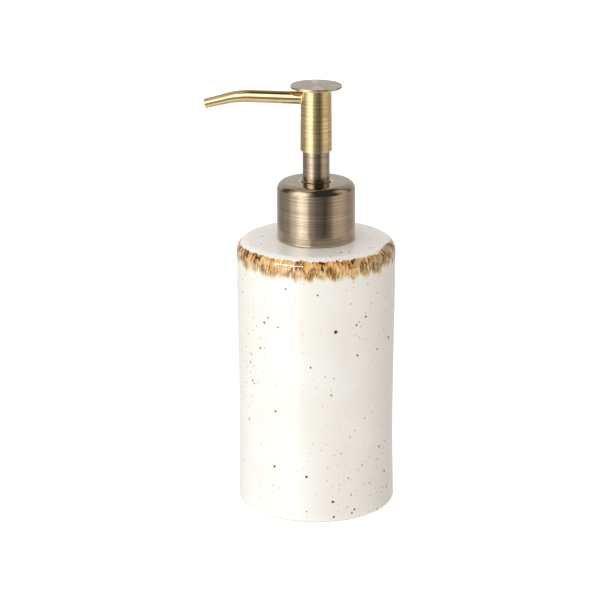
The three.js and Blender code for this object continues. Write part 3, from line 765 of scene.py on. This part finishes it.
def thread(base, ridge_height, start, inward=False):
    """A radius that follows a helical ridge standing on a wall of the given radius."""
    def shape(angle, radius, height):
        if abs(radius - base) > 1e-6:
            return np.full_like(angle, radius)
        turn = angle / TAU
        best = np.zeros_like(angle)
        for whole in range(-1, 4):
            share = turn + whole
            away = np.abs(height - (start + THREAD_PITCH * share))
            ridge = np.clip((0.95 - away) / 0.45, 0, 1)
            ends = np.clip(share / 0.06, 0, 1) * np.clip((THREAD_TURNS - share) / 0.06, 0, 1)
            best = np.maximum(best, ease(ridge) * ends)
        return radius + (-1 if inward else 1) * ridge_height * best
    return shape


def add_neck():
    """A flanged neck with its male thread."""
    flange_top = BOTTLE_TOP + 1.5
    outline = rounded([
        (11.7, BOTTLE_TOP - 10, 0.4), (11.7, BOTTLE_TOP, 0), (15.5, BOTTLE_TOP, 0.3), (15.5, flange_top, 0.4),
        (12.6, flange_top, 0), (12.6, 139, 0.6), (10, 139, 0.4), (10, BOTTLE_TOP - 10, 0.4),
    ])
    threaded = refine(outline, 0.15)
    add_turned("threaded_neck", threaded, WHITE, 160, thread(12.6, 1.0, THREAD_START))


# ---- Collar and closure ----


def add_collar():
    """A deep drawn cup whose lip is rolled down round the stem's hole."""
    sheet = 0.7
    hole = 6.35
    round_edge = 3.66
    inside = COLLAR_RADIUS - sheet
    under_top = COLLAR_TOP - sheet
    centre = (COLLAR_RADIUS - round_edge, COLLAR_TOP - round_edge)
    rim = rounded([
        (inside, COLLAR_BOTTOM + 2, 0), (inside, COLLAR_BOTTOM, 0.2),
        (COLLAR_RADIUS, COLLAR_BOTTOM, 0.3), (COLLAR_RADIUS, COLLAR_BOTTOM + 2, 0),
    ])[1:-1]
    edge = [(*p, 0.0) for p in arc(centre, round_edge, 0, 90, 20)]
    lip_bottom = COLLAR_TOP - 1.9
    lip = rounded([
        (centre[0], COLLAR_TOP, 0), (hole, COLLAR_TOP, 1.4), (hole, lip_bottom, 0.2),
        (hole + sheet, lip_bottom, 0.2), (hole + sheet, under_top, 0.4), (centre[0], under_top, 0),
    ], steps=8)[1:-1]
    below = [(*p, 0.0) for p in arc(centre, round_edge - sheet, 90, 0, 12)]
    add_turned("collar_shell", np.array([*rim, *edge, *lip, *below]), AGED, 224)


def add_closure():
    """A nut with the female thread."""
    top = 143.6
    bottom = BOTTLE_TOP + 1.8
    outside = COLLAR_RADIUS - 1
    outline = rounded([
        (outside, bottom, 0.3), (outside, top, 0.6), (9, top, 0.3), (9, 141.7, 0), (13.95, 141.7, 0),
        (13.95, bottom, 0.3),
    ])
    add_turned("threaded_closure", refine(outline, 0.15), WHITE, 160,
               thread(13.95, 1.0, THREAD_START - THREAD_PITCH / 2, inward=True))


# ---- Pump engine ----

CHAMBER_BOTTOM = 77.3
CAGE_TOP = CHAMBER_BOTTOM + 2.4
FLANGE_TOP = 141.6
SEAT_SLOPE = 0.85


def add_housing():
    """The pump's cylinder, with its flange at the top and the inlet valve's seat at the bottom."""
    throat, throat_height = 1.5, 71
    pocket = 3.3
    add_turned("pump_housing", rounded([
        (4.4, 60, 0.2), (4.4, throat_height + 1, 0.5), (7.8, CHAMBER_BOTTOM - 1, 0.5), (7.8, 117.3, 0.5),
        (8.9, 118.8, 0.5), (8.9, 140.2, 0.3), (13, 140.2, 0.2), (13, FLANGE_TOP, 0.3), (8, FLANGE_TOP, 0.3),
        (8, 119.6, 0.2), (6.8, 118.8, 0.2), (6.8, CHAMBER_BOTTOM, 0.2), (pocket, CHAMBER_BOTTOM, 0.2),
        (pocket, throat_height + (pocket - throat) / SEAT_SLOPE, 0.2), (throat, throat_height, 0.1),
        (throat, 69, 0.1), (3.3, 69, 0.1), (3.3, 60, 0.2),
    ]), NATURAL)


def add_engine_fittings():
    """The gasket under the flange, the bush in the mouth and the cage over the inlet ball."""
    add_turned("neck_gasket", rounded([
        (12.6, 139, 0.25), (12.6, 140.2, 0.25), (10.3, 140.2, 0.25), (10.3, 139, 0.25),
    ]), RUBBER)
    add_turned("guide_bush", rounded([
        (7.7, 120.5, 0.3), (7.7, FLANGE_TOP + 0.1, 0), (8.7, FLANGE_TOP + 0.1, 0.2),
        (8.7, FLANGE_TOP + 1.4, 0.3), (7.7, FLANGE_TOP + 1.4, 0.2), (7.7, 145, 0.3), (6.3, 145, 0.3),
        (6.3, 121.9, 0.1), (4.3, 121.9, 0.3), (4.3, 120.5, 0.3),
    ]), DARK)
    cage = add_turned("ball_cage", rounded([
        (6.5, CHAMBER_BOTTOM, 0.2), (6.5, CAGE_TOP, 0.2), (1.8, CAGE_TOP, 0.2), (1.8, CHAMBER_BOTTOM, 0.2),
    ]), WHITE)
    ports = [(3.6 * math.cos(a), 3.6 * math.sin(a)) for a in np.arange(4) * TAU / 4]
    cut_holes(cage, [rod(f"port_{i}", 0.9, (x, y, 70), (x, y, 90)) for i, (x, y) in enumerate(ports)])


def add_dip_tube():
    """The tube's lower end is cut at a slant."""
    bottom, top = 9, 68.7
    vertices, faces, wear = turned(rounded([
        (3, bottom, 0.15), (3, top, 0.2), (2.2, top, 0.2), (2.2, bottom, 0.15),
    ]), 96)
    slant = math.tan(math.radians(35))
    low = vertices[:, 2] < bottom + 1
    vertices[low, 2] += 2.1 + slant * vertices[low, 0]
    add_piece("dip_tube", mesh("dip_tube", vertices, faces, {"wear": wear}), NATURAL)


SPRING_TOP = 105.4
SPRING_COILS = 8
SPRING_RADIUS = 4.9
WIRE_RADIUS = 0.45


def wire_point(turn):
    """The middle of the spring's wire after a number of turns. The end turns lie flat."""
    bottom = CAGE_TOP + WIRE_RADIUS + 0.1
    top = SPRING_TOP - WIRE_RADIUS
    flat = 2 * WIRE_RADIUS + 0.05
    risen = np.clip((turn - 0.9) / (SPRING_COILS - 1.8), 0, 1)
    ends = min(turn, 0.9) / 0.9 + max(turn - SPRING_COILS + 0.9, 0) / 0.9
    height = bottom + flat * ends + risen * (top - bottom - 2 * flat)
    return np.array((SPRING_RADIUS * math.cos(turn * TAU), SPRING_RADIUS * math.sin(turn * TAU), height))


def add_spring():
    """A round wire swept along the coil, with slightly domed cut ends."""
    steps, sides = SPRING_COILS * 48, 14
    vertices, faces = [], []
    for i in range(steps + 1):
        turn = SPRING_COILS * i / steps
        here = wire_point(turn)
        ahead = wire_point(min(turn + 1e-3, SPRING_COILS)) - wire_point(max(turn - 1e-3, 0))
        ahead /= np.linalg.norm(ahead)
        out = np.array((here[0], here[1], 0)) / SPRING_RADIUS
        up = np.cross(out, ahead)
        for j in range(sides):
            around = TAU * j / sides
            vertices.append(here + WIRE_RADIUS * (math.cos(around) * out + math.sin(around) * up))
    for i in range(steps):
        for j in range(sides):
            n = (j + 1) % sides
            faces.append((i * sides + j, (i + 1) * sides + j, (i + 1) * sides + n, i * sides + n))
    for end, order in ((0, 1), (steps, -1)):
        centre = len(vertices)
        tip, inner = (0, 1e-2) if end == 0 else (SPRING_COILS, SPRING_COILS - 1e-2)
        beyond = wire_point(tip) - wire_point(inner)
        vertices.append(wire_point(tip) + 0.08 * beyond / np.linalg.norm(beyond))
        for j in range(sides):
            pair = (end * sides + j, end * sides + (j + 1) % sides)
            faces.append((*pair[::order], centre))
    spring = add_piece("return_spring", mesh("return_spring", vertices, faces), STEEL)
    low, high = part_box("return_spring")
    length = high.z - low.z
    travel = next(joint for joint in frame["joints"] if joint["name"] == "press")["range_m"][1]
    (length - travel) / length
    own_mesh(spring)


def add_ball(node):
    """A ground steel ball."""
    low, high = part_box(node)
    radius = (high.z - low.z) / 2 / MM
    centre = (high.z + low.z) / 2 / MM
    outline = arc((0, centre), radius, -90, 90, 32)
    outline[0], outline[-1] = (0, outline[0][1]), (0, outline[-1][1])
    add_turned(node, outline, STEEL, 64)


# ---- Plunger ----

STEM_BOTTOM = 111
SHOULDER_TOP = 120.2


def add_plunger():
    """The stem, the plug in its lower end and the piston that slides on it."""
    stem = add_turned("stem", rounded([
        (4, STEM_BOTTOM, 0.2), (4, SHOULDER_TOP - 1, 0), (5.2, SHOULDER_TOP - 1, 0.2),
        (5.2, SHOULDER_TOP, 0.2), (4, SHOULDER_TOP, 0), (4, 172, 0.3), (2.2, 172, 0.3),
        (2.2, STEM_BOTTOM, 0.2),
    ]), WHITE)
    cut_holes(stem, [slot_cutter(f"slot_{i}", i * TAU / 4) for i in range(2)])
    flange = SPRING_TOP + 0.1
    add_turned("piston_rod", rounded([
        (0, flange - 7.5, 0), (2.6, flange - 7.5, 0.3), (3.2, flange - 6.9, 0.3), (3.2, flange, 0),
        (5.6, flange, 0.2), (5.6, flange + 1.6, 0.4), (1.9, flange + 4.8, 0.3), (1.9, 120, 0.4), (0, 120, 0),
    ]), WHITE)
    add_turned("piston", rounded([
        (6, 108.6, 0.1), (6.5, 108.6, 0.1), (5.6, 111.1, 0.5), (5.6, 115.3, 0.5), (6.5, 117.8, 0.1),
        (6, 117.8, 0.1), (5.1, 115.8, 0.4), (4.3, 115.8, 0.2), (4.3, 110.1, 0.1), (3.6, 109.7, 0.1),
        (3.6, 109, 0.1), (4.6, 109, 0.4),
    ], support=0.1), NATURAL)


def slot_cutter(name, angle):
    """A flat bar across the stem's lower end."""
    half = np.array((8, 0.7, 3))
    corners = np.array([(x, y, z) for x in (-1, 1) for y in (-1, 1) for z in (-1, 1)]) * half
    turn = np.array([[math.cos(angle), -math.sin(angle), 0], [math.sin(angle), math.cos(angle), 0], [0, 0, 1]])
    faces = [(0, 1, 3, 2), (4, 6, 7, 5), (0, 4, 5, 1), (2, 3, 7, 6), (0, 2, 6, 4), (1, 5, 7, 3)]
    return bpy.data.objects.new(name, mesh(name, corners @ turn.T + (0, 0, STEM_BOTTOM), faces))


# ---- Pump head ----

SPOUT_HEIGHT = 184.65
SPOUT_RISE = math.radians(2)
SPOUT_BEND_START = 28.7
SPOUT_BEND_RADIUS = 38
SPOUT_BEND = math.radians(15.3)
SPOUT_END_STRAIGHT = 10
SPOUT_ROOT = 6.05
SPOUT_SHEET = 0.45
SPOUT_STRAIGHT = SPOUT_BEND_START / math.cos(SPOUT_RISE)
SPOUT_LENGTH = SPOUT_STRAIGHT + SPOUT_BEND_RADIUS * SPOUT_BEND + SPOUT_END_STRAIGHT


def spout_radius(distance):
    """Nearly even up to the bend, then tapering to the tip."""
    share = distance / SPOUT_LENGTH
    taper = np.clip((share - 0.55) / 0.45, 0, 1)
    return 2.88 - 0.15 * share - 0.58 * ease(taper)


def along_spout(points):
    """Bends points turned about Z, whose height is how far along they are, onto the spout's line."""
    distance = points[:, 2]
    first = np.minimum(distance, SPOUT_STRAIGHT)
    bent = np.clip((distance - SPOUT_STRAIGHT) / SPOUT_BEND_RADIUS, 0, SPOUT_BEND)
    last = np.maximum(distance - SPOUT_STRAIGHT - SPOUT_BEND_RADIUS * SPOUT_BEND, 0)
    heading = SPOUT_RISE - bent
    out = (
        first * math.cos(SPOUT_RISE) + SPOUT_BEND_RADIUS * (math.sin(SPOUT_RISE) - np.sin(heading))
        + last * np.cos(heading)
    )
    up = (
        first * math.sin(SPOUT_RISE) + SPOUT_BEND_RADIUS * (np.cos(heading) - math.cos(SPOUT_RISE))
        + last * np.sin(heading)
    )
    across = points[:, 0]
    back = across * np.sin(heading) - out
    return np.column_stack([back, points[:, 1], SPOUT_HEIGHT + up + across * np.cos(heading)])


def barrel_radius(height):
    """The barrel narrows a little towards its top."""
    return BARREL_RADIUS - 0.25 * (height - BARREL_BOTTOM) / (BARREL_TOP - BARREL_BOTTOM)


def add_spout():
    """A drawn tube with a small brazed fillet where it meets the barrel and a softened rim at the tip."""
    fillet = 0.4
    stations = [SPOUT_ROOT, *np.arange(8, SPOUT_LENGTH - 0.5, 0.6)]
    root = [(spout_radius(SPOUT_ROOT) + fillet * (1 - math.sin(a)), fillet * (1 - math.cos(a)))
            for a in np.radians(np.linspace(0, 90, 6))]
    outer = [(spout_radius(s), s, 0) for s in stations[1:]]
    outside = spout_radius(SPOUT_LENGTH)
    inside = outside - SPOUT_SHEET
    tip = rounded([
        (outside, SPOUT_LENGTH - 2, 0), (outside, SPOUT_LENGTH, 0.16),
        (inside, SPOUT_LENGTH, 0.16), (inside, SPOUT_LENGTH - 2, 0),
    ], support=0.1)[1:-1]
    inner = [(spout_radius(s) - SPOUT_SHEET, s, 0) for s in reversed(stations)]
    foot = [(spout_radius(SPOUT_ROOT), SPOUT_ROOT, 0)]
    saddle = [(radius, -1 - offset, 0) for radius, offset in root]
    vertices, faces, wear = turned(np.array([*foot, *saddle, *outer, *tip, *inner]), 64)
    on_saddle = vertices[:, 2] < 0
    offset = -1 - vertices[on_saddle, 2]
    shell = barrel_radius(SPOUT_HEIGHT)
    vertices[on_saddle, 2] = np.sqrt(shell ** 2 - vertices[on_saddle, 1] ** 2) - 0.03 + offset
    add_piece("spout_tube", mesh("spout_tube", along_spout(vertices), faces, {"wear": wear}), SMOOTH_GOLD)


def add_liner():
    """The plastic tube in the spout."""
    stations = np.linspace(2.2, SPOUT_LENGTH - 0.8, 60)
    outline = [(1.35, s) for s in stations] + [(0.85, s) for s in reversed(stations)]
    vertices, faces, _ = turned(outline, 40)
    add_piece("spout_liner", mesh("spout_liner", along_spout(vertices), faces), NATURAL)


def add_sleeve():
    """The brass tube round the stem."""
    outline = rounded([(6, 135.5, 0.15), (6, 165, 0.15), (5.3, 165, 0.15), (5.3, 135.5, 0.15)])
    add_turned("stem_sleeve", outline, AGED)


BARREL_SHEET = 0.7


def add_barrel():
    """The head's barrel, with a hole for the spout."""
    top = barrel_radius(BARREL_TOP)
    barrel = add_turned("head_barrel", refine(rounded([
        (BARREL_RADIUS, BARREL_BOTTOM, 0.15), (top, BARREL_TOP, 0.12), (top - BARREL_SHEET, BARREL_TOP, 0.12),
        (BARREL_RADIUS - BARREL_SHEET, BARREL_BOTTOM, 0.12),
    ]), 1.0), GOLD, 192)
    hole = spout_radius(SPOUT_ROOT) + 0.15
    cut_holes(barrel, [rod("spout_hole", hole, (-12, 0, SPOUT_HEIGHT + 0.4), (-3, 0, SPOUT_HEIGHT + 0.1))])


def add_press_disc():
    """The disc, with a plug under it that fits in the barrel."""
    plug = barrel_radius(BARREL_TOP) - BARREL_SHEET - 0.3
    add_turned("press_disc", rounded([
        (0, DISC_PLUG_BOTTOM, 0), (plug, DISC_PLUG_BOTTOM, 0.2), (plug, BARREL_TOP, 0),
        (DISC_RADIUS, BARREL_TOP, 0.22), (DISC_RADIUS, DISC_TOP, 0.28), (0, DISC_TOP, 0),
    ]), DISC, 192)


def add_insert():
    """The body in the barrel, with the outlet valve's seat and a channel to the spout."""
    throat, throat_height = 1.1, 174.3
    insert = add_turned("head_insert", rounded([
        (5.7, 165.3, 0.3), (5.7, 188.2, 0.4), (1.2, 188.2, 0.2), (1.2, 179, 0.2), (2.3, 179, 0.2),
        (2.3, throat_height + (2.3 - throat) / SEAT_SLOPE, 0.1), (throat, throat_height, 0.1),
        (throat, 172.3, 0.1), (4.3, 172.3, 0.2), (4.3, 165.3, 0.3),
    ]), WHITE)
    cut_holes(insert, [rod("channel", 1.65, (-8, 0, SPOUT_HEIGHT + 0.1), (0, 0, SPOUT_HEIGHT + 0.1))])


# ---- Floor, light and camera ----


def add_floor():
    """A plain pale floor, which leaves it to the sky's lower half to light the object from below."""
    vertices, faces, _ = turned([(0, 0), (200, 0), (600, 0), (2600, 0), (2600, -20), (0, -20)][::-1], 96)
    floor = place_object("floor", mesh("floor", vertices, faces))
    material, graph, shader, place = surface("pale_floor")
    cloud = graph.noise(place, 6, 3)
    colour = graph.mix(cloud, (0.86,) * 3, (0.9,) * 3)
    graph.fill(shader, {"Base Color": colour, "Roughness": 1.0, "Specular IOR Level": 0.0})
    graph.fill(shader, {"Emission Color": (1, 1, 1, 1), "Emission Strength": 0.6})
    floor.data.materials.append(material)
    floor.visible_glossy = floor.visible_diffuse = False


# How bright the studio is all the way round, as (degrees to the right of the front, brightness): at eye
# level, higher up and overhead. Metal mirrors the first three rings, and the softer two light the rest.
MIRRORED_WALLS = [
    (-180, 0.78), (-123, 0.42), (-92, 0.55), (-66, 1.4), (-44, 2.8), (-31, 2.15), (-17, 0.62), (4, 0.25),
    (27, 0.14), (40, 0.34), (57, 0.9), (75, 0.95), (112, 0.6), (180, 0.78),
]
MIRRORED_UPPER = [
    (-180, 0.66), (-132, 0.66), (-115, 0.12), (-98, 0.15), (-82, 0.8), (-68, 2.2), (-50, 2.3), (-36, 1.9),
    (-24, 1.1), (-13, 0.25), (0, 0.06), (60, 0.08), (80, 0.6), (94, 0.95), (104, 0.6), (118, 0.22),
    (132, 0.6), (180, 0.66),
]
MIRRORED_CEILING = [(-180, 0.2), (-140, 0.5), (-86, 0.8), (-48, 0.5), (-15, 0.06), (100, 0.06), (180, 0.2)]
SOFT_WALLS = [
    (-180, 0.9), (-140, 1.1), (-105, 1.1), (-75, 0.95), (-45, 1.4), (-15, 1.4), (15, 1.1), (45, 0.55),
    (75, 0.3), (105, 0.3), (140, 0.8), (180, 0.9),
]
SOFT_CEILING = [(-180, 1.05), (180, 1.05)]
WORKTOP = (1.15,) * 3
UNDER_OBJECT = (0.45,) * 3
LAMP = (5.0,) * 3


def studio_light(graph, azimuth, elevation, rings):
    """Light by direction: walls, then lit higher up, then the ceiling, with a pale worktop below."""
    around = graph.fade(azimuth, -180, 180, kind="LINEAR")
    walls, upper, ceiling = (
        graph.ramp(around, [((angle + 180) / 360, (light,) * 3) for angle, light in ring], "EASE")
        for ring in rings
    )
    light = graph.mix(graph.fade(elevation, -4, 8), walls, upper)
    light = graph.mix(graph.fade(elevation, 46, 62), light, ceiling)
    light = graph.mix(graph.fade(elevation, -27, -38), light, WORKTOP)
    return graph.mix(graph.fade(elevation, -62, -85), light, UNDER_OBJECT)


def add_sky():
    """A studio as the object sees it. What mirrors in metal has more contrast than what lights the rest."""
    world = bpy.data.worlds.new("studio")
    bpy.context.scene.world = world
    world.use_nodes = True
    graph = Graph(world.node_tree)
    x, y, z = graph.split(graph.value("ShaderNodeTexCoord", "Generated"))
    azimuth = graph.math("ARCTAN2", x, y * -1.0) * (360 / TAU)
    elevation = graph.math("ARCSINE", z) * (360 / TAU)
    warmth = graph.mix(graph.band(azimuth, 30, 165, 25), (1.0,) * 3, (1.0, 0.93, 0.87))

    soft = studio_light(graph, azimuth, elevation, (SOFT_WALLS, SOFT_WALLS, SOFT_CEILING))
    mirrored = studio_light(graph, azimuth, elevation, (MIRRORED_WALLS, MIRRORED_UPPER, MIRRORED_CEILING))
    lamp = graph.band(azimuth, -60, -28, 8) * graph.band(elevation, 18, 28, 5)
    mirrored = graph.mix(lamp, mirrored, LAMP)

    lit = graph.mix(graph.value("ShaderNodeLightPath", "Is Glossy Ray"), soft, mirrored)
    lit = graph.mix(1.0, lit, warmth, "MULTIPLY")
    lit = graph.mix(graph.value("ShaderNodeLightPath", "Is Camera Ray"), lit, (1.0,) * 3)
    background = graph.value("ShaderNodeBackground", 0, {"Color": lit})
    graph.node("ShaderNodeOutputWorld", {"Surface": background})


def direction(azimuth, elevation):
    """The direction at so many degrees to the right of the front and above the level."""
    azimuth, elevation = math.radians(azimuth), math.radians(elevation)
    level = math.cos(elevation)
    return Vector((level * math.sin(azimuth), -level * math.cos(azimuth), math.sin(elevation)))


def add_panel(name, target, azimuth, elevation, size, brightness):
    """A softbox 0.8 m away that shows as a highlight on one piece only."""
    towards = direction(azimuth, elevation)
    data = bpy.data.lights.new(name, "AREA")
    data.shape = "RECTANGLE"
    data.size, data.size_y = size
    data.energy = brightness * math.pi * data.size * data.size_y
    panel = place_object(name, data)
    panel.location = Vector((0, 0, BARREL_BOTTOM * MM)) + 0.8 * towards
    panel.rotation_euler = towards.to_track_quat("Z", "Y").to_euler()
    panel.visible_camera = False
    panel.visible_diffuse = False
    receivers = bpy.data.collections.new(name)
    receivers.objects.link(bpy.data.objects[target])
    panel.light_linking.receiver_collection = receivers


def add_highlights():
    """The bright line along the spout and the thin one on the glazed shoulder."""
    add_panel("spout_softbox", "spout_tube_shape", -10, 35, (0.36, 0.74), 2.3)
    add_panel("shoulder_lamp", "ceramic_bottle_shape", -41, 23, (0.6, 0.05), 60.0)


def add_camera():
    """Looks at a point on the bottle's axis from the front and a little above."""
    distance = 1.05
    elevation = 17.44
    aim = Vector((0, 0, 0.0929))
    data = bpy.data.cameras.new("camera")
    data.lens, data.sensor_width = 141.3, 36
    data.shift_x = -0.0269
    data.clip_start, data.clip_end = 0.05, 50
    camera = place_object("camera", data)
    camera.location = aim + distance * direction(0, elevation)
    camera.rotation_euler = (math.radians(90 - elevation), 0, 0)
    bpy.context.scene.camera = camera


bpy.context.scene.view_settings.view_transform = "Standard"
add_camera()
add_sky()
add_floor()
add_bottle()
add_neck()
add_collar()
add_closure()
add_housing()
add_engine_fittings()
add_dip_tube()
add_spring()
add_plunger()
add_sleeve()
add_barrel()
add_press_disc()
add_insert()
add_spout()
add_liner()
for ball_node in ("inlet_ball", "outlet_ball"):
    add_ball(ball_node)
add_highlights()
